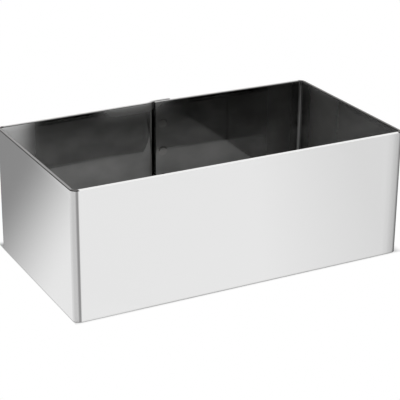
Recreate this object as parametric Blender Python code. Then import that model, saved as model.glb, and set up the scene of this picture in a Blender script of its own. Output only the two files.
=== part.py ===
"""Rectangular food ring in stainless sheet.

One strip of sheet is bent at four corners. Its ends lap in the back wall: the left end is joggled outwards by
one thickness, passes behind the right end, and a column of spot welds holds the two layers together.

+X runs along the length, +Y towards the seam and +Z up. The origin lies under the middle of the whole outline,
with the bottom rim at zero. All sizes are in metres.
"""

import math

import bmesh
import bpy
from mathutils import Matrix, Vector

# Ring: the outer length, width and height, and the sheet it is bent from
RING_LENGTH = 0.120
RING_WIDTH = 0.065
RING_HEIGHT = 0.044
SHEET_THICKNESS = 0.0012

# Corners and rims: a sharp press-brake bend, and edges with the burr taken off
BEND_INSIDE_RADIUS = 0.0006
DEBURR_RADIUS = 0.0002

# Lap seam: how far the middle of the lap lies right of the middle of the wall, the flat land beside each weld,
# the space between the layers, the length of the joggle, and the space between it and the end of the other layer
SEAM_OFFSET = 0.0021
WELD_LAND = 0.0013
LAP_GAP = 0.00025
JOGGLE_LENGTH = 0.0045
END_GAP = 0.0005

# Spot welds: the round mark, its pressed rim and dish, how deep the mark lies in the sheet, the space round the slug,
# and the column that the welds stand in
WELD_DIAMETER = 0.0039
WELD_RIM_WIDTH = 0.0004
WELD_DISH_DEPTH = 0.00012
WELD_RECESS = 0.00008
WELD_CLEARANCE = 0.0003
WELD_TOP_MARGIN = 0.0082
WELD_BOTTOM_MARGIN = 0.0046
WELD_PITCH = 0.0104

# How far a cutter stands out of what it cuts
CUTTER_OVERRUN = 0.001

# Facets: how finely the bends, the joggle, the rims and the welds are divided
BEND_STEPS = 8
JOGGLE_STEPS = 6
DEBURR_STEPS = 2
WELD_SIDES = 32
SHARP_ANGLE = math.radians(40.0)
RIGHT_ANGLE = math.radians(90.0)

# Finishes: bright cold-rolled stainless, and the duller metal of the weld marks
STEEL_COLOUR = (0.62, 0.62, 0.61, 1.0)
STEEL_ROUGHNESS = 0.22
WELD_COLOUR = (0.50, 0.49, 0.47, 1.0)
WELD_ROUGHNESS = 0.38

# Worked out: the bends, the lap and the joggle's rise
CORNER_RADIUS = BEND_INSIDE_RADIUS + SHEET_THICKNESS
BEND_LINE_RADIUS = BEND_INSIDE_RADIUS + SHEET_THICKNESS / 2
LAP_WIDTH = WELD_DIAMETER + 2 * WELD_LAND
LAP_START = SEAM_OFFSET - LAP_WIDTH / 2
JOGGLE_RISE = SHEET_THICKNESS + LAP_GAP
JOGGLE_START = LAP_START - END_GAP - JOGGLE_LENGTH

# Worked out: the walls move forwards by half the joggle's rise, so that the origin is under the outline's middle
WALLS_Y = -JOGGLE_RISE / 2
BACK_LINE_Y = WALLS_Y + RING_WIDTH / 2 - SHEET_THICKNESS / 2


def clear_scene():
    """Starts from an empty scene."""
    for thing in list(bpy.data.objects):
        bpy.data.objects.remove(thing, do_unlink=True)


def metal(name, colour, roughness):
    """A plain metal finish."""
    finish = bpy.data.materials.new(name)
    finish.use_nodes = True
    shader = finish.node_tree.nodes["Principled BSDF"]
    shader.inputs["Base Color"].default_value = colour
    shader.inputs["Metallic"].default_value = 1.0
    shader.inputs["Roughness"].default_value = roughness
    return finish


def add_object(name, mesh, finish=None):
    """Puts a mesh into the scene under its name, smooth but for its sharp edges."""
    mesh.shade_smooth()
    mesh.set_sharp_from_angle(angle=SHARP_ANGLE)
    if finish is not None and not mesh.materials:
        mesh.materials.append(finish)
    thing = bpy.data.objects.new(name, mesh)
    bpy.context.collection.objects.link(thing)
    return thing


def mesh_from(name, bm):
    """Turns a finished bmesh into a mesh with its faces pointing out."""
    bmesh.ops.recalc_face_normals(bm, faces=bm.faces)
    mesh = bpy.data.meshes.new(name)
    bm.to_mesh(mesh)
    bm.free()
    return mesh


def heading_vector(heading):
    """The unit direction of a heading, counted anticlockwise from +X."""
    return Vector((math.cos(heading), math.sin(heading), 0.0))


def go_straight(stations, distance):
    """Adds one station at the far end of a flat length of strip."""
    place, heading = stations[-1]
    stations.append((place + heading_vector(heading) * distance, heading))


def go_round(stations, radius, angle, steps):
    """Adds stations round a bend. A positive angle turns left; the radius is that of the strip's middle line."""
    place, heading = stations[-1]
    side = math.copysign(1.0, angle)
    centre = place + heading_vector(heading + side * RIGHT_ANGLE) * radius
    for step in range(1, steps + 1):
        turned = heading + angle * step / steps
        stations.append((centre - heading_vector(turned + side * RIGHT_ANGLE) * radius, turned))


def strip_stations():
    """Places and headings along the strip's middle line, clockwise from its inner end to its joggled end."""
    stations = [(Vector((LAP_START, BACK_LINE_Y, 0.0)), 0.0)]
    long_flat = RING_LENGTH - 2 * CORNER_RADIUS
    short_flat = RING_WIDTH - 2 * CORNER_RADIUS
    flats = (long_flat / 2 - LAP_START, short_flat, long_flat, short_flat)
    for flat in flats:
        go_straight(stations, flat)
        go_round(stations, BEND_LINE_RADIUS, -RIGHT_ANGLE, BEND_STEPS)
    go_straight(stations, long_flat / 2 + JOGGLE_START)
    joggle_angle = 2 * math.atan2(JOGGLE_RISE, JOGGLE_LENGTH)
    joggle_radius = JOGGLE_LENGTH / 2 / math.sin(joggle_angle)
    go_round(stations, joggle_radius, joggle_angle, JOGGLE_STEPS)
    go_round(stations, joggle_radius, -joggle_angle, JOGGLE_STEPS)
    go_straight(stations, END_GAP + LAP_WIDTH)
    return stations


def band_mesh():
    """The bent strip: its footprint is drawn along the stations, raised to the ring's height and deburred."""
    bm = bmesh.new()
    pairs = []
    for place, heading in strip_stations():
        half = heading_vector(heading + RIGHT_ANGLE) * SHEET_THICKNESS / 2
        pairs.append((bm.verts.new(place + half), bm.verts.new(place - half)))
    for (outer, inner), (next_outer, next_inner) in zip(pairs, pairs[1:]):
        bm.faces.new((outer, inner, next_inner, next_outer))
    raised = bmesh.ops.extrude_face_region(bm, geom=bm.faces[:])
    top = [part for part in raised["geom"] if isinstance(part, bmesh.types.BMVert)]
    bmesh.ops.translate(bm, verts=top, vec=(0.0, 0.0, RING_HEIGHT))
    bmesh.ops.recalc_face_normals(bm, faces=bm.faces)
    sharp = [edge for edge in bm.edges if edge.calc_face_angle(0.0) > SHARP_ANGLE]
    bmesh.ops.bevel(
        bm, geom=sharp, offset=DEBURR_RADIUS, segments=DEBURR_STEPS, profile=0.5, affect="EDGES", material=-1
    )
    return mesh_from("ring_band", bm)


def weld_heights():
    """Heights of the welds, evenly spaced at about their pitch from the top margin down to the bottom one."""
    span = RING_HEIGHT - WELD_TOP_MARGIN - WELD_BOTTOM_MARGIN
    spaces = max(1, round(span / WELD_PITCH))
    return [RING_HEIGHT - WELD_TOP_MARGIN - span * place / spaces for place in range(spaces + 1)]


def weld_place(height):
    """The middle of a weld, between the two layers of the lap."""
    return Vector((SEAM_OFFSET, BACK_LINE_Y + JOGGLE_RISE / 2, height))


def round_bar(bm, radius, length, place):
    """Adds a bar along Y through both layers and returns its vertices."""
    turned = Matrix.Translation(place) @ Matrix.Rotation(RIGHT_ANGLE, 4, "X")
    bar = bmesh.ops.create_cone(
        bm, cap_ends=True, segments=WELD_SIDES, radius1=radius, radius2=radius, depth=length, matrix=turned
    )
    return bar["verts"]


def hole_cutter_mesh(heights):
    """One bar for each weld hole through the lapped layers."""
    bm = bmesh.new()
    length = SHEET_THICKNESS + JOGGLE_RISE + 2 * CUTTER_OVERRUN
    for height in heights:
        round_bar(bm, WELD_DIAMETER / 2, length, weld_place(height))
    return mesh_from("weld_holes", bm)


def weld_mesh():
    """One weld slug: it stands just under both outer faces, and each end is dished inside a narrow rim."""
    bm = bmesh.new()
    radius = WELD_DIAMETER / 2 - WELD_CLEARANCE
    length = SHEET_THICKNESS + JOGGLE_RISE - 2 * WELD_RECESS
    round_bar(bm, radius, length, Vector())
    ends = [face for face in bm.faces if len(face.verts) == WELD_SIDES]
    for end in ends:
        bmesh.ops.inset_region(bm, faces=[end], thickness=WELD_RIM_WIDTH, depth=-WELD_DISH_DEPTH)
    return mesh_from("spot_weld", bm)


def make_band(heights, steel):
    """The strip, with a hole for each weld cut through both layers of its lap."""
    band = add_object("ring_band", band_mesh(), steel)
    cutter = add_object("weld_holes", hole_cutter_mesh(heights))
    cutter.hide_render = True
    cutter.display_type = "WIRE"
    cut = band.modifiers.new("weld_holes", "BOOLEAN")
    cut.operation = "DIFFERENCE"
    cut.solver = "EXACT"
    cut.object = cutter
    return band


def make_welds(heights, weld_metal):
    """The welds, numbered from the top."""
    shared = weld_mesh()
    for number, height in enumerate(heights, start=1):
        weld = add_object(f"spot_weld_{number}", shared, weld_metal)
        weld.location = weld_place(height)


def main():
    """Builds the ring."""
    clear_scene()
    heights = weld_heights()
    make_band(heights, metal("stainless_sheet", STEEL_COLOUR, STEEL_ROUGHNESS))
    make_welds(heights, metal("weld_metal", WELD_COLOUR, WELD_ROUGHNESS))


main()
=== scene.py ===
"""Rectangular food ring in bright stainless sheet: its looks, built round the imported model.

The ring is one strip of sheet, bent at four corners. Its ends lap in the back wall, where the joggled end
passes behind the other and a column of spot welds holds the two together. All sizes are in metres.
"""

import math

import bmesh
import bpy
from bpy.props import FloatProperty, FloatVectorProperty, IntProperty, PointerProperty
from mathutils import Matrix, Vector


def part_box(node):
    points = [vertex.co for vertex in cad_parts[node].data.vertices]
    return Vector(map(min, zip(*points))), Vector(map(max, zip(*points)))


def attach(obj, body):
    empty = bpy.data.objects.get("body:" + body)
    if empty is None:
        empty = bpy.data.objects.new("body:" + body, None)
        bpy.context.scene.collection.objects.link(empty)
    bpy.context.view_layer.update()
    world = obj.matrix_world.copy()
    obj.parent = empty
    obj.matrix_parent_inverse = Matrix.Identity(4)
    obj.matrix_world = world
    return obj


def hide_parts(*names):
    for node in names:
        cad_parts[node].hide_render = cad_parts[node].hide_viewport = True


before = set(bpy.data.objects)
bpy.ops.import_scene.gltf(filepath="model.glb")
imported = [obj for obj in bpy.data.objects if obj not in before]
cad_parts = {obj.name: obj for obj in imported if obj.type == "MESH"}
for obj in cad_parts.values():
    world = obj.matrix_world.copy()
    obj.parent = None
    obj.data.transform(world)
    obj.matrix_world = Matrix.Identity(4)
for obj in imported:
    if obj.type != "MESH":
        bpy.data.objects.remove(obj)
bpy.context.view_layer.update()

bl_info = {
    "name": "Rectangular food ring",
    "version": (1, 0, 0),
    "blender": (4, 5, 0),
    "location": "View3D > Sidebar > Food Ring",
    "description": "Builds a bent stainless food ring with a spot-welded lap seam, and a plain studio",
    "category": "Add Mesh",
}

RIGHT_ANGLE = math.radians(90.0)
FULL_TURN = math.radians(360.0)
SHARP_ANGLE = math.radians(40.0)

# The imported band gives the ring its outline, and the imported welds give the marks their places
BAND_LOW, BAND_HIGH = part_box("ring_band")
WELD_NODES = sorted(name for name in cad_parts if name.startswith("spot_weld"))

# How finely the strip is divided: rows up its walls, and steps along its straights and round its curves
ROWS = 22
STEP_LENGTH = 0.002
BEND_STEPS = 18
LEAD_STEPS = 6
JOGGLE_STEPS = 10
LAP_STEPS = 2
EDGE_SEGMENTS = 4
END_SEGMENTS = 3

# The strip's finishes, in the order of its material slots
OUTSIDE, INSIDE, RIM, BROKEN_CORNER, CUT_END = range(5)
# A face is cut end when it spans less than this share of the edge radius along the strip, rim when its normal
# is this upright, a rounded corner when it tilts this far, and no longer cut end when its normal lies less
# than this far along the strip
END_SPAN = 0.1
RIM_UPRIGHT = 0.99
CORNER_TILT = 0.1
END_ALONG = 0.97

# Half the section of an electrode mark, from its middle out, as shares of its radius and of its crown
MARK_SECTION = ((0.0, 1.0), (0.6, 1.0), (0.72, 0.9), (0.82, 0.6), (0.91, 0.2), (0.97, 0.02))
# The border of a mark lies this far under the sheet's face
MARK_SINK = 0.00002
# Points that a full spin leaves nearer together than this are one
MARK_MERGE = 1e-7
# The electrodes bit least on the uppermost spot. The inner one bit deeper at its lower left, so its slope has
# equal parts across and up the seam
FIRST_CROWN_SHARE = 0.4
BITE_SHARE = 0.7

# Bends: each change of the stretch, which dulls the outer face and darkens its colour as painted shade, and
# the degrees into the bend over which it comes
BEND_SHADE_AND_STRETCH = ((0.73, 0.0, 8.0), (-0.39, 18.0, 32.0), (-0.20, 45.0, 85.0))
# The last bend, front right, is dulled and darkened with painted shade from a little way along the front
# wall, and more over its last degrees; its inner face gets painted shade too
LAST_BEND_REACH = 0.0035
LAST_BEND_SHADE_AND_STRETCH = 0.3
LAST_BEND_RISE = 0.65
LAST_BEND_DEGREES = 30.0
LAST_BEND_INSIDE = 0.95

# Painted highlight on each rim, as a share: full along the front, less at the back and left, none at the
# right.
# The lower edges get less, so that their rounded corners stay dark as painted shade at the foot
FRONT_RIM_HIGHLIGHT = 1.0
BACK_RIM_HIGHLIGHT = 0.55
LEFT_RIM_HIGHLIGHT = 0.22
LOWER_RIM_HIGHLIGHT = 0.76

# A pale, matt patch in the top corner left of the seam, its paleness painted highlight: reach along the wall,
# fading, depths under the rim
CORNER_SHEEN_REACH = 0.016
CORNER_SHEEN_FADING = 0.8
CORNER_SHEEN_NONE = 0.016
CORNER_SHEEN_FULL = 0.011
# A faint pale, matt band under the back rim, its paleness painted highlight: strength, depth, and where along
# X it comes and goes
BAND_SHEEN = 0.4
BAND_SHEEN_DEPTH = 0.009
BAND_SHEEN_COMES = (-0.030, -0.016)
BAND_SHEEN_GOES = (-0.004, 0.014)
# The right wall is pale and matt under its rim and has a pale, matt bloom, which fades towards the back
# corner and the front; the back right bend is a little pale and matt too. The paleness is painted highlight
RIGHT_SHEEN = 0.3
RIGHT_SHEEN_DEPTH = 0.012
BLOOM = 0.36
BLOOM_CORNER_GAP = 0.008
BLOOM_COMES = (-0.016, 0.014)
BACK_RIGHT_BEND_SHEEN = 0.12

# Painted shade on the back wall beside the back right corner: a lighter part high up and a full part at the
# corner, by depth and place along X
CORNER_SHADE_HIGH = 0.40
CORNER_SHADE_FULL = 0.72
CORNER_SHADE_HIGH_DEPTHS = (0.026, 0.010)
CORNER_SHADE_HIGH_COMES = (0.018, 0.042)
CORNER_SHADE_FULL_COMES = (0.036, 0.056)
# And painted shade on the right wall, only beside the corner
CORNER_SHADE_RIGHT = 0.75
CORNER_SHADE_RIGHT_REACH = 0.003

# Waves per metre of the grain along the strip and across it. Real rolling and belt lines lie some hundredths
# of a millimetre apart, and these are drawn as coarse as they need to be to show
ROLLED_GRAIN = (40.0, 2500.0, 1.0)
BELT_GRAIN = (200.0, 6000.0, 1.0)
GRAIN_DEPTH = 0.0001
# Oil smears of 9 to 14 mm, and a pressed mark's mottle of 0.4 mm
SMEARS = (70.0, 110.0, 1.0)
MOTTLE = 2500.0
MOTTLE_DEPTH = 0.00002

# Sockets of a Mix node that mixes colours
MIX_SHARE, MIX_FIRST, MIX_SECOND = 0, 6, 7
MIX_RESULT = 2

# Ramps on the floor: the direction that each follows, where it starts and ends, its values there, its curve.
# Mirrors show the painted stage behind the ring, in front of it and at its left. It is white behind and in
# front, darkened by a painted shade along the gradient between them, and by a painted fall-off of light a
# little towards the right
FLOOR_RAMPS = {
    "behind": ((0.75, 0.66, 0.0), (0.050, 0.110), (0.0, 1.0), "SMOOTHSTEP"),
    "front": ((0.0, -1.0, 0.0), (0.0320, 0.0342), (0.0, 1.0), "SMOOTHSTEP"),
    "left": ((-1.0, 0.0, 0.0), (0.0597, 0.0602), (0.0, 1.0), "LINEAR"),
    "gradient": ((0.833, 0.553, 0.0), (-0.0592, -0.0215), (0.96, 0.296), "SMOOTHSTEP"),
    "falling": ((1.0, 0.53, 0.0), (-0.010, 0.038), (1.0, 0.86), "LINEAR"),
}
# The camera sees the ring's shadow up to this far from the ring's box, and white further out
SHADOW_EDGE = (-0.001, 0.0035)
RIGHT_REAR_SHARE = 0.37
LAMP_ANGLE = math.radians(25.0)
NEAREST_SEEN = 0.01


def linear(hex_colour):
    """Turns an sRGB hex colour into linear red, green and blue."""
    channels = [int(hex_colour[place : place + 2], 16) / 255 for place in (1, 3, 5)]
    return tuple(c / 12.92 if c <= 0.04045 else ((c + 0.055) / 1.055) ** 2.4 for c in channels)


def smooth(start, end, value):
    """Rises smoothly from nought at the start to one at the end."""
    part = min(1.0, max(0.0, (value - start) / (end - start)))
    return part * part * (3.0 - 2.0 * part)


def direction(azimuth, elevation):
    """Points from the ring to a lamp or camera. The azimuth counts anticlockwise from straight in front."""
    level = math.cos(elevation)
    return Vector((math.sin(azimuth) * level, -math.cos(azimuth) * level, math.sin(elevation)))


class RingSheetSizes(bpy.types.PropertyGroup):
    """Sizes of the bent strip and its lap seam."""

    sheet: FloatProperty(
        name="Sheet", description="Thickness of the sheet", default=0.0012, min=0.0003, subtype="DISTANCE"
    )
    joggle_rise: FloatProperty(
        name="Joggle rise",
        description="How far the joggled end steps outwards, one sheet and the gap of the lap",
        default=0.00145,
        min=0.0003,
        subtype="DISTANCE",
    )
    joggle_start: FloatProperty(
        name="Joggle start",
        description="Where the joggle begins along X",
        default=-0.0057,
        subtype="DISTANCE",
    )
    lead_radius: FloatProperty(
        name="Lead radius",
        description="Radius of the joggle's long gentle start",
        default=0.0162,
        subtype="DISTANCE",
    )
    lead_angle: FloatProperty(
        name="Lead angle", description="Turn of the gentle start", default=math.radians(8.6), subtype="ANGLE"
    )
    joggle_radius: FloatProperty(
        name="Joggle radius",
        description="Radius of the tight curve after it",
        default=0.0039,
        subtype="DISTANCE",
    )
    joggle_angle: FloatProperty(
        name="Joggle angle",
        description="Slope of the joggle at its steepest",
        default=math.radians(34.0),
        subtype="ANGLE",
    )
    lap_start: FloatProperty(
        name="Lap start",
        description="Place of the inner layer's cut end along X",
        default=-0.00072,
        subtype="DISTANCE",
    )
    lap_width: FloatProperty(
        name="Lap width",
        description="How far the two layers lie over each other",
        default=0.0065,
        subtype="DISTANCE",
    )
    bend_radius: FloatProperty(
        name="Bend radius",
        description="Inside radius of the corner bends",
        default=0.0010,
        subtype="DISTANCE",
    )
    edge_radius: FloatProperty(
        name="Edge radius",
        description="Rounding where the burr was taken off the cut edges",
        default=0.00022,
        subtype="DISTANCE",
    )
    end_radius: FloatProperty(
        name="End radius", description="Rounding of the strip's two ends", default=0.0001, subtype="DISTANCE"
    )
    back_bow: FloatProperty(
        name="Back bow",
        description="How far the back wall bows outwards at its middle",
        default=0.0009,
        subtype="DISTANCE",
    )

    def line_radius(self):
        """Radius of the bends along the middle line of the sheet."""
        return self.bend_radius + self.sheet / 2


class WeldMarkSizes(bpy.types.PropertyGroup):
    """Sizes of the electrode marks of the spot welds."""

    diameter: FloatProperty(
        name="Diameter", description="Width of one electrode mark", default=0.0036, subtype="DISTANCE"
    )
    crown: FloatProperty(
        name="Crown",
        description="How far a pressed mark stands out of the sheet",
        default=0.00005,
        subtype="DISTANCE",
    )
    tilt: FloatProperty(
        name="Tilt", description="How far off square the inner electrode stood, as a slope", default=0.016
    )
    sides: IntProperty(name="Sides", description="Facets round one mark", default=48, min=12)


class FinishColours(bpy.types.PropertyGroup):
    """Colours of the metal finishes."""

    outside: FloatVectorProperty(
        name="Outside", description="Polished outer face", subtype="COLOR", size=3, default=linear("#e7e7e7")
    )
    # Painted shade: the bends' outer face is darkened to this colour where they are stretched and dulled
    bend: FloatVectorProperty(
        name="Bend",
        description="Outer face where the bend stretched it",
        subtype="COLOR",
        size=3,
        default=linear("#5b5a5a"),
    )
    # Darker than the outer face partly as painted shade for the inside of the ring
    inside: FloatVectorProperty(
        name="Inside",
        description="Mill-rolled inner face",
        subtype="COLOR",
        size=3,
        default=linear("#c3c3c2"),
    )
    smeared: FloatVectorProperty(
        name="Smeared",
        description="Inner face where rolling oil dried",
        subtype="COLOR",
        size=3,
        default=linear("#a8a8a7"),
    )
    # Painted shade beside the back right corner, darker than the inner face
    corner_shade: FloatVectorProperty(
        name="Corner shade",
        description="Inner face beside the back right corner, under a dark film of drawing oil",
        subtype="COLOR",
        size=3,
        default=linear("#4b4a49"),
    )
    # Bright rim colour: a painted highlight, strongest along the front rim
    rim_highlight: FloatVectorProperty(
        name="Highlit rim",
        description="Rim passed over a belt",
        subtype="COLOR",
        size=3,
        default=linear("#f2f2f1"),
    )
    # Dull rim colour: painted shade on the rims where they get no highlight
    sheared_shade: FloatVectorProperty(
        name="Sheared rim",
        description="Rim as the shears left it",
        subtype="COLOR",
        size=3,
        default=linear("#565453"),
    )
    # Near black on the rounded corners of the rims: painted shade, which also draws the dark line along the
    # foot
    corner: FloatVectorProperty(
        name="Broken corner",
        description="Rounded corners of a rim that was not dressed",
        subtype="COLOR",
        size=3,
        default=linear("#2c2b2b"),
    )
    # Near black on the strip's ends: painted shade of the gap in the lap
    end: FloatVectorProperty(
        name="Cut end",
        description="Ends of the strip, dark in the lap",
        subtype="COLOR",
        size=3,
        default=linear("#121111"),
    )
    weld: FloatVectorProperty(
        name="Weld mark",
        description="Pressed metal of the marks",
        subtype="COLOR",
        size=3,
        default=linear("#c4c3c1"),
    )


class StudioSettings(bpy.types.PropertyGroup):
    """The plain studio: floor, lamps, sky and camera."""

    floor_colour: FloatVectorProperty(
        name="Floor", description="Pale floor", subtype="COLOR", size=3, default=linear("#f4f4f4")
    )
    floor_side: FloatProperty(
        name="Floor side", description="Length of one side of the floor", default=8.0, subtype="DISTANCE"
    )
    key_strength: FloatProperty(name="Key", description="Strength of the key lamp", default=4.0)
    rear_strength: FloatProperty(name="Rear", description="Strength of the high rear lamp", default=0.49)
    sky_strength: FloatProperty(name="Sky", description="Strength of the light from all round", default=0.18)
    azimuth: FloatProperty(
        name="Azimuth",
        description="Camera's turn round the ring",
        default=math.radians(-27.91),
        subtype="ANGLE",
    )
    elevation: FloatProperty(
        name="Elevation",
        description="Camera's height over the floor",
        default=math.radians(22.31),
        subtype="ANGLE",
    )
    roll: FloatProperty(name="Roll", description="Camera's tilt", default=math.radians(0.49), subtype="ANGLE")
    distance: FloatProperty(
        name="Distance", description="From the camera to its target", default=0.46193, subtype="DISTANCE"
    )
    target: FloatVectorProperty(
        name="Target",
        description="Point in the middle of the picture",
        size=3,
        default=(-0.00668, -0.01384, 0.02451),
        subtype="TRANSLATION",
    )
    lens: FloatProperty(name="Lens", description="Focal length", default=126.1, unit="CAMERA")


def add_node(tree, kind, links=(), sockets=None, **settings):
    """Adds a node with its settings, its socket values, and (output, socket) links into it."""
    node = tree.nodes.new(kind)
    for name, value in settings.items():
        setattr(node, name, value)
    for socket, value in (sockets or {}).items():
        node.inputs[socket].default_value = value
    for source, socket in links:
        tree.links.new(source, node.inputs[socket])
    return node


def new_material(name):
    """An empty node material, with its tree and its Principled shader."""
    material = bpy.data.materials.new(name)
    material.use_nodes = True
    return material, material.node_tree, material.node_tree.nodes["Principled BSDF"]


def strip_pattern(tree, waves):
    """Noise on the flattened strip, stretched along it as rolling and belt grinding stretch it."""
    place = add_node(tree, "ShaderNodeUVMap", uv_map="strip")
    scaled = add_node(tree, "ShaderNodeMapping", [(place.outputs["UV"], "Vector")], {"Scale": waves})
    return add_node(
        tree, "ShaderNodeTexNoise", [(scaled.outputs["Vector"], "Vector")], {"Scale": 1.0, "Detail": 3.0}
    )


def polished_stainless(colours):
    """Stainless sheet, cold rolled and polished, on the outer face of the ring.

    It gives the eye a pale grey mirror with a faint blur. Where the bends stretched it, it is duller, and its
    colour there is darker as painted shade.
    """
    material, tree, shader = new_material("polished_stainless")
    shader.inputs["Metallic"].default_value = 1.0
    shade_and_stretch = add_node(tree, "ShaderNodeAttribute", attribute_name="shade_and_stretch")
    tone = add_node(
        tree,
        "ShaderNodeMix",
        [(shade_and_stretch.outputs["Fac"], MIX_SHARE)],
        {MIX_FIRST: (*colours.outside, 1.0), MIX_SECOND: (*colours.bend, 1.0)},
        data_type="RGBA",
    )
    tree.links.new(tone.outputs[MIX_RESULT], shader.inputs["Base Color"])
    grain = strip_pattern(tree, ROLLED_GRAIN)
    polish = {"To Min": 0.08, "To Max": 0.14}
    rough = add_node(tree, "ShaderNodeMapRange", [(grain.outputs["Fac"], "Value")], polish)
    stretch_dulls = 0.35
    duller = add_node(
        tree,
        "ShaderNodeMath",
        [(shade_and_stretch.outputs["Fac"], 0), (rough.outputs["Result"], 2)],
        {1: stretch_dulls},
        operation="MULTIPLY_ADD",
    )
    tree.links.new(duller.outputs["Value"], shader.inputs["Roughness"])
    relief = {"Strength": 0.02, "Distance": GRAIN_DEPTH}
    bump = add_node(tree, "ShaderNodeBump", [(grain.outputs["Fac"], "Height")], relief)
    tree.links.new(bump.outputs["Normal"], shader.inputs["Normal"])
    return material


def mill_rolled_shaded_stainless(colours):
    """Stainless sheet as the mill rolled it, on the inner face of the ring.

    It gives the eye a sharper mirror with cloudy smears of dried oil. Its colour is darker than the outer
    face's, partly as painted shade for the inside of the ring, and the bends are a little duller. The walls
    beside the back right corner are darkest, with painted shade. In the top corner left of the seam, faintly
    under the back rim and on the right wall, it is paler as painted highlight and matt, so that it catches
    light from above. The last bend's inner face is darkened with painted shade.
    """
    material, tree, shader = new_material("mill_rolled_shaded_stainless")
    shader.inputs["Metallic"].default_value = 1.0
    clouds = strip_pattern(tree, SMEARS)
    drying = {"From Min": 0.3, "From Max": 0.7}
    smears = add_node(tree, "ShaderNodeMapRange", [(clouds.outputs["Fac"], "Value")], drying)
    sheet = add_node(
        tree,
        "ShaderNodeMix",
        [(smears.outputs["Result"], MIX_SHARE)],
        {MIX_FIRST: (*colours.inside, 1.0), MIX_SECOND: (*colours.smeared, 1.0)},
        data_type="RGBA",
    )
    # Painted shade beside the back right corner
    corner_shade = add_node(tree, "ShaderNodeAttribute", attribute_name="corner_shade")
    shaded_sheet = add_node(
        tree,
        "ShaderNodeMix",
        [(corner_shade.outputs["Fac"], MIX_SHARE), (sheet.outputs[MIX_RESULT], MIX_FIRST)],
        {MIX_SECOND: (*colours.corner_shade, 1.0)},
        data_type="RGBA",
    )
    # Paler as painted highlight where the face is made matt
    matt_sheen = add_node(tree, "ShaderNodeAttribute", attribute_name="matt_sheen")
    paler = add_node(
        tree,
        "ShaderNodeMix",
        [(matt_sheen.outputs["Fac"], MIX_SHARE), (shaded_sheet.outputs[MIX_RESULT], MIX_FIRST)],
        {MIX_SECOND: (*colours.outside, 1.0)},
        data_type="RGBA",
    )
    # Painted shade: the inner face of the last bend is darkened with the bend colour
    shade_and_stretch = add_node(tree, "ShaderNodeAttribute", attribute_name="shade_and_stretch")
    most = add_node(tree, "ShaderNodeMapRange", [(shade_and_stretch.outputs["Fac"], "Value")], {"From Min": 0.8})
    darker = add_node(
        tree,
        "ShaderNodeMix",
        [(most.outputs["Result"], MIX_SHARE), (paler.outputs[MIX_RESULT], MIX_FIRST)],
        {MIX_SECOND: (*colours.bend, 1.0)},
        data_type="RGBA",
    )
    tree.links.new(darker.outputs[MIX_RESULT], shader.inputs["Base Color"])
    grain = strip_pattern(tree, ROLLED_GRAIN)
    rolling = {"To Min": 0.03, "To Max": 0.07}
    rough = add_node(tree, "ShaderNodeMapRange", [(grain.outputs["Fac"], "Value")], rolling)
    sheen_dulls, stretch_dulls = 0.75, 0.12
    matt = add_node(
        tree,
        "ShaderNodeMath",
        [(matt_sheen.outputs["Fac"], 0), (rough.outputs["Result"], 2)],
        {1: sheen_dulls},
        operation="MULTIPLY_ADD",
    )
    duller = add_node(
        tree,
        "ShaderNodeMath",
        [(shade_and_stretch.outputs["Fac"], 0), (matt.outputs["Value"], 2)],
        {1: stretch_dulls},
        operation="MULTIPLY_ADD",
    )
    tree.links.new(duller.outputs["Value"], shader.inputs["Roughness"])
    relief = {"Strength": 0.02, "Distance": GRAIN_DEPTH}
    bump = add_node(tree, "ShaderNodeBump", [(grain.outputs["Fac"], "Height")], relief)
    tree.links.new(bump.outputs["Normal"], shader.inputs["Normal"])
    return material


def sheared_edge(name, dull, bright, spread):
    """A cut edge of the sheet, with a painted highlight along the long front rim and less or none on the
    others.

    It gives the eye a bright line along the front wall and grey ones elsewhere, as painted highlight and
    shade.
    A spread over one keeps the brightness to the places that get the full highlight.
    """
    material, tree, shader = new_material(name)
    shader.inputs["Metallic"].default_value = 1.0
    rim_highlight = add_node(tree, "ShaderNodeAttribute", attribute_name="rim_highlight")
    reach = add_node(tree, "ShaderNodeMath", [(rim_highlight.outputs["Fac"], 0)], {1: spread}, operation="POWER")
    tone = add_node(
        tree,
        "ShaderNodeMix",
        [(reach.outputs["Value"], MIX_SHARE)],
        {MIX_FIRST: (*dull, 1.0), MIX_SECOND: (*bright, 1.0)},
        data_type="RGBA",
    )
    tree.links.new(tone.outputs[MIX_RESULT], shader.inputs["Base Color"])
    grain = strip_pattern(tree, BELT_GRAIN)
    grinding = {"To Min": 0.25, "To Max": 0.40}
    rough = add_node(tree, "ShaderNodeMapRange", [(grain.outputs["Fac"], "Value")], grinding)
    tree.links.new(rough.outputs["Result"], shader.inputs["Roughness"])
    relief = {"Strength": 0.1, "Distance": GRAIN_DEPTH}
    bump = add_node(tree, "ShaderNodeBump", [(grain.outputs["Fac"], "Height")], relief)
    tree.links.new(bump.outputs["Normal"], shader.inputs["Normal"])
    return material


def spot_welded_stainless(colour):
    """Stainless pressed under the electrode.

    It gives the eye a faint round mark, a little duller than the sheet.
    """
    material, tree, shader = new_material("spot_welded_stainless")
    shader.inputs["Base Color"].default_value = (*colour, 1.0)
    shader.inputs["Metallic"].default_value = 1.0
    place = add_node(tree, "ShaderNodeTexCoord")
    mottle = add_node(tree, "ShaderNodeTexNoise", [(place.outputs["Object"], "Vector")], {"Scale": MOTTLE})
    pressing = {"To Min": 0.08, "To Max": 0.16}
    rough = add_node(tree, "ShaderNodeMapRange", [(mottle.outputs["Fac"], "Value")], pressing)
    tree.links.new(rough.outputs["Result"], shader.inputs["Roughness"])
    relief = {"Strength": 0.1, "Distance": MOTTLE_DEPTH}
    bump = add_node(tree, "ShaderNodeBump", [(mottle.outputs["Fac"], "Height")], relief)
    tree.links.new(bump.outputs["Normal"], shader.inputs["Normal"])
    return material


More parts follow.
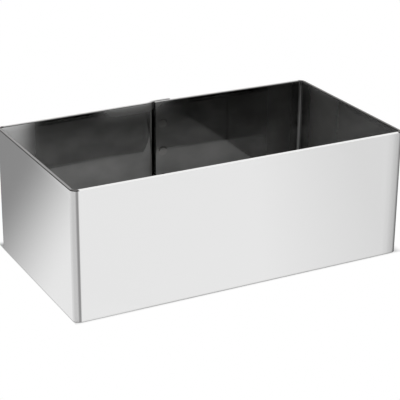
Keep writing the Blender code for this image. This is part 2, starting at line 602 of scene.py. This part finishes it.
def add_piece(name, bm, materials, slot, *nodes):
    """Makes a finished piece of a bmesh, on the ring's one body and in the place of the CAD nodes given."""
    mesh = bpy.data.meshes.new(name)
    bm.to_mesh(mesh)
    bm.free()
    mesh.shade_smooth()
    mesh.set_sharp_from_angle(angle=SHARP_ANGLE)
    for material in materials:
        mesh.materials.append(material)
    piece = bpy.data.objects.new(name, mesh)
    bpy.context.scene.collection.objects.link(piece)
    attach(piece, "root")
    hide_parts(*nodes)
    return piece


class StripSweep:
    """Draws a strip by extruding its cross-section along straights and spinning it round bends.

    Two layers on the vertices keep the place along the strip and round its cross-section, for the UV map.
    """

    def __init__(self, start, sheet, height, edge_radius):
        """Stands the cross-section at its start, facing along +X, with its four long edges rounded."""
        self.bm = bmesh.new()
        self.along = self.bm.verts.layers.float.new("along")
        self.across = self.bm.verts.layers.float.new("across")
        self.heading = 0.0
        self.place = Vector(start)
        self.run = 0.0
        upright = Matrix.Translation(self.place + Vector((0.0, 0.0, height / 2)))
        upright = upright @ Matrix.Rotation(RIGHT_ANGLE, 4, "Y") @ Matrix.Diagonal((height, sheet, 1.0, 1.0))
        bmesh.ops.create_grid(self.bm, x_segments=1, y_segments=1, size=0.5, matrix=upright)
        bmesh.ops.bevel(
            self.bm,
            geom=self.bm.verts[:],
            offset=edge_radius,
            segments=EDGE_SEGMENTS,
            profile=0.5,
            affect="VERTICES",
            material=-1,
        )
        tall = [edge for edge in self.bm.edges if edge.calc_length() > height / 2]
        bmesh.ops.subdivide_edges(self.bm, edges=tall, cuts=ROWS - 1)
        self.end = self.bm.faces[:]
        for vert in self.bm.verts:
            outer = vert.co.y > self.place.y
            vert[self.across] = vert.co.z if outer else 2 * height + sheet - vert.co.z
        self.girth = 2 * (height + sheet)

    def go_on_from(self, geometry, distance):
        """Takes the new end faces and notes how far along the strip they lie.

        The end faces before them would be left inside the metal, so they go. Only the strip's start stays.
        """
        if self.run > 0.0:
            bmesh.ops.delete(self.bm, geom=self.end, context="FACES_ONLY")
        self.end = [part for part in geometry if isinstance(part, bmesh.types.BMFace)]
        self.run += distance
        for face in self.end:
            for vert in face.verts:
                vert[self.along] = self.run

    def straight(self, distance, steps=1):
        """Extrudes a flat length of strip."""
        step = Vector((math.cos(self.heading), math.sin(self.heading), 0.0)) * distance / steps
        for _ in range(steps):
            drawn = bmesh.ops.extrude_face_region(self.bm, geom=self.end)["geom"]
            drawn_verts = [part for part in drawn if isinstance(part, bmesh.types.BMVert)]
            bmesh.ops.translate(self.bm, verts=drawn_verts, vec=step)
            self.place += step
            self.go_on_from(drawn, distance / steps)

    def wall(self, distance, support):
        """Extrudes a wall in even steps, with a short step at each end that keeps it flat up to the bends."""
        self.straight(support)
        self.straight(distance - 2 * support, steps=round(distance / STEP_LENGTH))
        self.straight(support)

    def bend(self, radius, angle, steps):
        """Spins the strip round a bend. A positive angle turns left. The radius is the middle line's."""
        side = math.copysign(RIGHT_ANGLE, angle)
        across = self.heading + side
        centre = self.place + Vector((math.cos(across), math.sin(across), 0.0)) * radius
        for _ in range(steps):
            drawn = bmesh.ops.spin(
                self.bm,
                geom=self.end,
                cent=centre,
                axis=(0.0, 0.0, 1.0),
                angle=angle / steps,
                steps=1,
                use_duplicate=False,
            )["geom_last"]
            self.go_on_from(drawn, radius * abs(angle) / steps)
        self.heading += angle
        self.place = centre + Matrix.Rotation(angle, 3, "Z") @ (self.place - centre)

    def write_uv(self):
        """Lays the strip out flat in a UV map, in metres, with its length along U."""
        uv = self.bm.loops.layers.uv.new("strip")
        for face in self.bm.faces:
            rounds = [loop.vert[self.across] for loop in face.loops]
            wraps = max(rounds) - min(rounds) > self.girth / 2
            for loop, turn in zip(face.loops, rounds):
                if wraps and turn < self.girth / 2:
                    turn += self.girth
                loop[uv].uv = (loop.vert[self.along], turn)

    def sort_faces(self, height, edge_radius):
        """Gives each face the finish of its side of the strip."""
        for face in self.bm.faces:
            runs = [vert[self.along] for vert in face.verts]
            if max(runs) - min(runs) < edge_radius * END_SPAN:
                face.material_index = CUT_END
            elif abs(face.normal.z) > RIM_UPRIGHT:
                face.material_index = RIM
            elif abs(face.normal.z) > CORNER_TILT:
                face.material_index = BROKEN_CORNER
            elif min(vert[self.across] for vert in face.verts) > height:
                face.material_index = INSIDE
            else:
                face.material_index = OUTSIDE

    def round_ends(self, radius):
        """Rounds the two cut ends. The rounding is as bright as the inner face."""
        square = [edge for edge in self.bm.edges if edge.calc_face_angle(0.0) > SHARP_ANGLE]
        bmesh.ops.bevel(
            self.bm,
            geom=square,
            offset=radius,
            segments=END_SEGMENTS,
            profile=0.5,
            affect="EDGES",
            material=-1,
        )
        for face in self.bm.faces:
            if face.material_index == CUT_END and abs(face.normal.x) < END_ALONG:
                face.material_index = INSIDE


class StripWearAndShade:
    """Says how worn the bent strip is at each place, and how much painted shade or highlight it gets, as a
    share of one.

    X and Y are counted from the middle between its walls, and depths down from its upper rim.
    """

    def __init__(self, half_long, half_short, height, line_radius):
        """Takes half the length of the long walls' and of the short walls' flats, and the bends' radius."""
        self.half_long = half_long
        self.half_short = half_short
        self.height = height
        self.line_radius = line_radius

    def mark(self, bm, middle):
        """Writes each kind of wear, painted shade and painted highlight on the vertices, where the materials
        read it.
        """
        kinds = {"shade_and_stretch": self.shade_and_stretch, "rim_highlight": self.rim_highlight, "matt_sheen": self.matt_sheen, "corner_shade": self.corner_shade}
        for name, share in kinds.items():
            layer = bm.verts.layers.float.new(name)
            for vert in bm.verts:
                vert[layer] = share(vert.co.x, vert.co.y - middle, vert.co.z)

    def past_flats(self, x, y):
        """How far a place lies past the flats. Both are over nought in a bend, and one of them on a wall."""
        return abs(x) - self.half_long, abs(y) - self.half_short

    def inside_bend(self, past_x, past_y):
        """Says whether a place in a bend lies on its inner face."""
        return math.hypot(past_x, past_y) < self.line_radius

    def shade_and_stretch(self, x, y, z):
        """How far bending stretched the sheet, which also sets the painted shade on the bends. A bend's start
        gets most.
        """
        past_x, past_y = self.past_flats(x, y)
        last_corner = x > 0.0 > y
        if past_y <= 0.0:
            return 0.0
        if past_x <= 0.0:
            return LAST_BEND_SHADE_AND_STRETCH * smooth(-LAST_BEND_REACH, 0.0, past_x) if last_corner else 0.0
        turn = math.degrees(math.atan2(past_y, past_x))
        if not last_corner:
            into = 90.0 - turn if x * y > 0.0 else turn
            return sum(change * smooth(start, end, into) for change, start, end in BEND_SHADE_AND_STRETCH)
        # The inner face of the last bend gets its painted shade here
        if self.inside_bend(past_x, past_y):
            return LAST_BEND_INSIDE
        return LAST_BEND_SHADE_AND_STRETCH + LAST_BEND_RISE * min(1.0, (90.0 - turn) / LAST_BEND_DEGREES)

    def rim_highlight(self, x, y, z):
        """How much painted highlight each rim gets, none in the bends."""
        past_x, past_y = self.past_flats(x, y)
        if z < self.height / 2:
            return LOWER_RIM_HIGHLIGHT
        if past_x > 0.0 and past_y > 0.0:
            return 0.0
        if past_y > 0.0:
            return FRONT_RIM_HIGHLIGHT if y < 0.0 else BACK_RIM_HIGHLIGHT
        return LEFT_RIM_HIGHLIGHT if x < 0.0 else 0.0

    def matt_sheen(self, x, y, z):
        """How pale and matt the inner face is made; its paleness is painted highlight."""
        past_x, past_y = self.past_flats(x, y)
        depth = self.height - z
        if x > 0.0 and past_x > 0.0 and past_y < 0.0:
            beside_corner = smooth(self.half_short - BLOOM_CORNER_GAP, self.half_short, y)
            bloom = BLOOM * (1.0 - beside_corner) * smooth(*BLOOM_COMES, y)
            return max(bloom, RIGHT_SHEEN * smooth(RIGHT_SHEEN_DEPTH, 0.0, depth))
        if y <= 0.0:
            return 0.0
        if x > 0.0 and past_x > 0.0 and self.inside_bend(past_x, past_y):
            return BACK_RIGHT_BEND_SHEEN
        along = 1.0 - smooth(-self.half_long, CORNER_SHEEN_REACH - self.half_long, x)
        corner = along**CORNER_SHEEN_FADING * smooth(CORNER_SHEEN_NONE, CORNER_SHEEN_FULL, depth)
        band = smooth(BAND_SHEEN_DEPTH, 0.0, depth)
        band *= smooth(*BAND_SHEEN_COMES, x) * (1.0 - smooth(*BAND_SHEEN_GOES, x))
        return max(corner, BAND_SHEEN * band)

    def corner_shade(self, x, y, z):
        """How much painted shade lies beside the back right corner."""
        past_x, past_y = self.past_flats(x, y)
        if x <= 0.0 or y <= 0.0:
            return 0.0
        if past_x < 0.0 < past_y:
            high = CORNER_SHADE_HIGH * smooth(*CORNER_SHADE_HIGH_DEPTHS, self.height - z)
            return high * smooth(*CORNER_SHADE_HIGH_COMES, x) + (CORNER_SHADE_FULL - high) * smooth(*CORNER_SHADE_FULL_COMES, x)
        if past_y < 0.0 < past_x:
            return CORNER_SHADE_RIGHT * smooth(self.half_short - CORNER_SHADE_RIGHT_REACH, self.half_short, y)
        return 0.0


class FOODRING_OT_band(bpy.types.Operator):
    """Builds the bent strip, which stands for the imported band"""

    bl_idname = "foodring.band"
    bl_label = "Bent Strip"

    def execute(self, context):
        sizes = context.scene.foodring_sheet
        colours = context.scene.foodring_finish
        outer_radius = sizes.bend_radius + sizes.sheet
        length = BAND_HIGH[0] - BAND_LOW[0]
        width = BAND_HIGH[1] - BAND_LOW[1] - sizes.joggle_rise
        height = BAND_HIGH[2] - BAND_LOW[2]
        long_flat = length - 2 * outer_radius
        short_flat = width - 2 * outer_radius
        back_line = BAND_HIGH[1] - sizes.joggle_rise - sizes.sheet / 2
        sweep = self.bent_strip(sizes, back_line, height, long_flat, short_flat)
        bm = sweep.bm
        bmesh.ops.recalc_face_normals(bm, faces=bm.faces)
        sweep.write_uv()
        sweep.sort_faces(height, sizes.edge_radius)
        sweep.round_ends(sizes.end_radius)
        wear_and_shade = StripWearAndShade(long_flat / 2, short_flat / 2, height, sizes.line_radius())
        wear_and_shade.mark(bm, BAND_LOW[1] + width / 2)
        self.bow_back_wall(bm, sizes, back_line, long_flat / 2)
        bmesh.ops.recalc_face_normals(bm, faces=bm.faces)
        finishes = (
            polished_stainless(colours),
            mill_rolled_shaded_stainless(colours),
            # Rims: painted highlight along the front, painted shade elsewhere
            sheared_edge("sheared_stainless_rim", colours.sheared_shade, colours.rim_highlight, spread=1.0),
            # Rounded rim corners: painted shade, except where the front rim's highlight reaches
            sheared_edge("broken_stainless_corner", colours.corner, colours.rim_highlight, spread=4.0),
            # Cut ends near black: painted shade
            sheared_edge("sheared_stainless_end", colours.end, colours.end, spread=1.0),
        )
        add_piece("bent_strip", bm, finishes, "stainless_sheet", "ring_band")
        return {"FINISHED"}

    def bent_strip(self, sizes, back_line, height, long_flat, short_flat):
        """Draws the strip from its inner end round the four bends to its joggled outer end."""
        support = sizes.sheet / 4
        sweep = StripSweep((sizes.lap_start, back_line, 0.0), sizes.sheet, height, sizes.edge_radius)
        for flat in (long_flat / 2 - sizes.lap_start, short_flat, long_flat, short_flat):
            sweep.wall(flat, support)
            sweep.bend(sizes.line_radius(), -RIGHT_ANGLE, steps=BEND_STEPS)
        sweep.wall(long_flat / 2 + sizes.joggle_start, support)
        lead, steep = sizes.lead_angle, sizes.joggle_angle
        lead_rise = sizes.lead_radius * (1 - math.cos(lead))
        tight_rise = sizes.joggle_radius * (math.cos(lead) - math.cos(steep))
        last_radius = (sizes.joggle_rise - (lead_rise + tight_rise)) / (1 - math.cos(steep))
        sweep.bend(sizes.lead_radius, lead, steps=LEAD_STEPS)
        sweep.bend(sizes.joggle_radius, steep - lead, steps=JOGGLE_STEPS)
        sweep.bend(last_radius, -steep, steps=JOGGLE_STEPS)
        sweep.straight(support)
        sweep.straight(sizes.lap_start + sizes.lap_width - sweep.place.x, steps=LAP_STEPS)
        return sweep

    def bow_back_wall(self, bm, sizes, back_line, half):
        """Bows the back wall outwards, as the springy sheet does between its bends."""
        for vert in bm.verts:
            if vert.co.y > back_line - sizes.sheet and abs(vert.co.x) < half:
                vert.co.y += sizes.back_bow * (1.0 - (vert.co.x / half) ** 2) ** 2


class FOODRING_OT_welds(bpy.types.Operator):
    """Builds the spot welds, each with a faintly crowned electrode mark at both faces of the lap"""

    bl_idname = "foodring.welds"
    bl_label = "Spot Welds"

    def execute(self, context):
        sizes = context.scene.foodring_weld
        sheet = context.scene.foodring_sheet
        finish = spot_welded_stainless(context.scene.foodring_finish.weld)
        half_lap = (sheet.sheet + sheet.joggle_rise) / 2
        for number, node in enumerate(WELD_NODES, start=1):
            share = FIRST_CROWN_SHARE if number == 1 else 1.0
            bm = self.marked_slug(sizes, half_lap, sizes.crown * share)
            low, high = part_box(node)
            middle = (Vector(low) + Vector(high)) / 2
            bmesh.ops.translate(bm, verts=bm.verts, vec=middle + Vector((0.0, sheet.back_bow, 0.0)))
            add_piece(f"weld_mark_{number}", bm, [finish], "weld_metal", node)
        return {"FINISHED"}

    def marked_slug(self, sizes, half_lap, crown):
        """Spins the section of a slug with its mark at both ends, and tilts the inner mark a little."""
        radius = sizes.diameter / 2
        bm = bmesh.new()
        face = [(radius * part, half_lap + crown * rise) for part, rise in MARK_SECTION]
        face.append((radius, half_lap - MARK_SINK))
        outline = face + [(across, -depth) for across, depth in reversed(face)]
        chain = [bm.verts.new((across, depth, 0.0)) for across, depth in outline]
        for near, far in zip(chain, chain[1:]):
            bm.edges.new((near, far))
        bmesh.ops.spin(
            bm,
            geom=bm.verts[:] + bm.edges[:],
            cent=(0.0, 0.0, 0.0),
            axis=(0.0, 1.0, 0.0),
            angle=FULL_TURN,
            steps=sizes.sides,
            use_merge=True,
        )
        bmesh.ops.remove_doubles(bm, verts=bm.verts, dist=MARK_MERGE)
        bmesh.ops.recalc_face_normals(bm, faces=bm.faces)
        slope = sizes.tilt * crown / sizes.crown
        for vert in bm.verts:
            lift = (-vert.co.y - half_lap) / crown
            if lift > 0.0:
                vert.co.y -= lift * slope * BITE_SHARE * (vert.co.x + vert.co.z)
        return bm


class FOODRING_OT_studio(bpy.types.Operator):
    """Builds the pale floor, the soft lamps, the sky and the camera"""

    bl_idname = "foodring.studio"
    bl_label = "Studio"

    def execute(self, context):
        scene = context.scene
        studio = scene.foodring_studio
        scene.view_settings.view_transform = "Standard"
        self.make_floor(scene, studio)
        self.make_sky(scene, studio)
        right_rear = studio.rear_strength * RIGHT_REAR_SHARE
        self.far_lamp(scene, "key", studio.key_strength, azimuth=30.0, elevation=20.0)
        self.far_lamp(scene, "rear", studio.rear_strength, azimuth=-150.0, elevation=45.0)
        self.far_lamp(scene, "right_rear", right_rear, azimuth=120.0, elevation=45.0)
        self.make_camera(scene, studio)
        return {"FINISHED"}

    def make_floor(self, scene, studio):
        """A plain painted floor just under the ring."""
        bm = bmesh.new()
        bmesh.ops.create_grid(bm, x_segments=1, y_segments=1, size=studio.floor_side / 2)
        mesh = bpy.data.meshes.new("floor")
        bm.to_mesh(mesh)
        bm.free()
        mesh.materials.append(self.matt_white_paint(studio.floor_colour))
        floor = bpy.data.objects.new("floor", mesh)
        scene.collection.objects.link(floor)

    def matt_white_paint(self, colour):
        """Matt white paint on the floor.

        It gives the camera's eye plain white from a few millimetres beside the ring, where only the shadow at
        the foot is left. In mirrors it is white in front of the ring and far behind, with a painted shade
        that darkens it evenly along the left side and a little towards the right. Light that falls on it is
        left as it is.
        """
        material, tree, shader = new_material("matt_white_paint")
        shader.inputs["Base Color"].default_value = (*colour, 1.0)
        shader.inputs["Roughness"].default_value = 1.0
        shader.inputs["Specular IOR Level"].default_value = 0.0
        place = add_node(tree, "ShaderNodeTexCoord").outputs["Object"]
        ramps = {}
        for name, (towards, reach, values, curve) in FLOOR_RAMPS.items():
            along = add_node(
                tree, "ShaderNodeVectorMath", [(place, 0)], {1: towards}, operation="DOT_PRODUCT"
            )
            ramp = add_node(
                tree,
                "ShaderNodeMapRange",
                [(along.outputs["Value"], "Value")],
                {"From Min": reach[0], "From Max": reach[1], "To Min": values[0], "To Max": values[1]},
                interpolation_type=curve,
            )
            ramps[name] = ramp.outputs["Result"]
        white_parts = add_node(
            tree, "ShaderNodeMath", [(ramps["behind"], 0), (ramps["front"], 1)], operation="MAXIMUM"
        ).outputs["Value"]
        shown_parts = add_node(
            tree, "ShaderNodeMath", [(white_parts, 0), (ramps["left"], 1)], operation="MAXIMUM"
        ).outputs["Value"]
        seen = self.seen_directly(tree).outputs["Value"]
        mirrored = add_node(
            tree, "ShaderNodeMath", [(shown_parts, 0), (seen, 1)], operation="MULTIPLY"
        ).outputs["Value"]
        # Painted shade: in mirrors the floor darkens along the gradient at the left and falls off towards the
        # right
        level = add_node(
            tree, "ShaderNodeMath", [(white_parts, 0), (ramps["gradient"], 1)], operation="MAXIMUM"
        ).outputs["Value"]
        in_mirrors = add_node(
            tree, "ShaderNodeMath", [(ramps["falling"], 0), (level, 1)], operation="MULTIPLY"
        ).outputs["Value"]
        camera = add_node(tree, "ShaderNodeLightPath").outputs["Is Camera Ray"]
        beside = self.beside_ring(tree, place).outputs["Result"]
        watched = add_node(
            tree, "ShaderNodeMath", [(beside, 0), (camera, 1)], operation="MULTIPLY"
        ).outputs["Value"]
        shown = add_node(
            tree, "ShaderNodeMath", [(mirrored, 0), (watched, 1)], operation="MAXIMUM"
        ).outputs["Value"]
        strength = add_node(
            tree, "ShaderNodeMath", [(in_mirrors, 0), (camera, 1)], operation="MAXIMUM"
        ).outputs["Value"]
        white = add_node(tree, "ShaderNodeEmission", [(strength, "Strength")])
        blend = add_node(
            tree,
            "ShaderNodeMixShader",
            [(shown, 0), (shader.outputs["BSDF"], 1), (white.outputs["Emission"], 2)],
        )
        tree.links.new(blend.outputs["Shader"], tree.nodes["Material Output"].inputs["Surface"])
        return material

    def beside_ring(self, tree, place):
        """Rises from nought at the ring's box to one a few millimetres beside it."""
        aside = add_node(tree, "ShaderNodeVectorMath", [(place, 0)], operation="ABSOLUTE")
        past = add_node(
            tree,
            "ShaderNodeVectorMath",
            [(aside.outputs["Vector"], 0)],
            {1: (BAND_HIGH[0], BAND_HIGH[1], 0.0)},
            operation="SUBTRACT",
        )
        outside = add_node(
            tree,
            "ShaderNodeVectorMath",
            [(past.outputs["Vector"], 0)],
            {1: (0.0, 0.0, 0.0)},
            operation="MAXIMUM",
        )
        gap = add_node(tree, "ShaderNodeVectorMath", [(outside.outputs["Vector"], 0)], operation="LENGTH")
        return add_node(
            tree,
            "ShaderNodeMapRange",
            [(gap.outputs["Value"], "Value")],
            {"From Min": SHADOW_EDGE[0], "From Max": SHADOW_EDGE[1]},
            interpolation_type="SMOOTHSTEP",
        )

    def make_sky(self, scene, studio):
        """White to the camera and in reflections, and a dimmer even light on everything else."""
        world = bpy.data.worlds.new("studio_walls")
        world.use_nodes = True
        tree = world.node_tree
        strength = add_node(
            tree,
            "ShaderNodeMapRange",
            [(self.seen_directly(tree).outputs["Value"], "Value")],
            {"To Min": studio.sky_strength, "To Max": 1.0},
        )
        background = tree.nodes["Background"]
        background.inputs["Color"].default_value = (1.0, 1.0, 1.0, 1.0)
        tree.links.new(strength.outputs["Result"], background.inputs["Strength"])
        scene.world = world

    def seen_directly(self, tree):
        """One for rays from the camera, straight or by way of mirrors and glass, and nought for lighting."""
        path = add_node(tree, "ShaderNodeLightPath")
        camera_or_mirror = add_node(
            tree,
            "ShaderNodeMath",
            [(path.outputs["Is Camera Ray"], 0), (path.outputs["Is Glossy Ray"], 1)],
            operation="ADD",
        )
        or_glass = add_node(
            tree,
            "ShaderNodeMath",
            [(camera_or_mirror.outputs["Value"], 0), (path.outputs["Is Transmission Ray"], 1)],
            operation="ADD",
            use_clamp=True,
        )
        before_any_matt_face = 0.5
        not_lighting = add_node(
            tree,
            "ShaderNodeMath",
            [(path.outputs["Diffuse Depth"], 0)],
            {1: before_any_matt_face},
            operation="LESS_THAN",
        )
        return add_node(
            tree,
            "ShaderNodeMath",
            [(or_glass.outputs["Value"], 0), (not_lighting.outputs["Value"], 1)],
            operation="MULTIPLY",
        )

    def far_lamp(self, scene, name, strength, azimuth, elevation):
        """A soft lamp far away, placed in degrees.

        The steel mirrors the floor and the walls but not the lamp, as through a polarising filter.
        """
        lamp = bpy.data.lights.new(name, "SUN")
        lamp.energy = strength
        lamp.angle = LAMP_ANGLE
        holder = bpy.data.objects.new(name, lamp)
        holder.location = direction(math.radians(azimuth), math.radians(elevation))
        holder.rotation_euler = holder.location.to_track_quat("Z", "Y").to_euler()
        holder.visible_camera = False
        holder.visible_glossy = False
        scene.collection.objects.link(holder)

    def make_camera(self, scene, studio):
        """The camera at the photograph's angle."""
        back = direction(studio.azimuth, studio.elevation)
        data = bpy.data.cameras.new("camera")
        data.lens = studio.lens
        data.clip_start = NEAREST_SEEN
        camera = bpy.data.objects.new("camera", data)
        level = back.to_track_quat("Z", "Y").to_matrix().to_4x4()
        place = Matrix.Translation(Vector(studio.target) + back * studio.distance)
        camera.matrix_world = place @ level @ Matrix.Rotation(studio.roll, 4, "Z")
        scene.collection.objects.link(camera)
        scene.camera = camera


class FOODRING_PT_panel(bpy.types.Panel):
    """Lists the ring's sizes and the steps that build it"""

    bl_idname = "FOODRING_PT_panel"
    bl_label = "Rectangular Food Ring"
    bl_space_type = "VIEW_3D"
    bl_region_type = "UI"
    bl_category = "Food Ring"

    def draw(self, context):
        for settings in SETTINGS:
            box = self.layout.box()
            group = getattr(context.scene, settings)
            for name in group.__annotations__:
                box.prop(group, name)
        for step in STEPS:
            self.layout.operator(step.bl_idname)


SETTINGS = {
    "foodring_sheet": RingSheetSizes,
    "foodring_weld": WeldMarkSizes,
    "foodring_finish": FinishColours,
    "foodring_studio": StudioSettings,
}
STEPS = (FOODRING_OT_band, FOODRING_OT_welds, FOODRING_OT_studio)
CLASSES = (*SETTINGS.values(), *STEPS, FOODRING_PT_panel)


def register():
    """Registers the classes and hangs their settings on the scene."""
    for kind in CLASSES:
        bpy.utils.register_class(kind)
    for name, kind in SETTINGS.items():
        setattr(bpy.types.Scene, name, PointerProperty(type=kind))


def unregister():
    """Takes the settings off the scene and unregisters the classes."""
    for name in SETTINGS:
        delattr(bpy.types.Scene, name)
    for kind in reversed(CLASSES):
        bpy.utils.unregister_class(kind)


def main():
    """Builds the pieces and the studio."""
    register()
    bpy.ops.foodring.band()
    bpy.ops.foodring.welds()
    bpy.ops.foodring.studio()


if __name__ == "__main__":
    main()
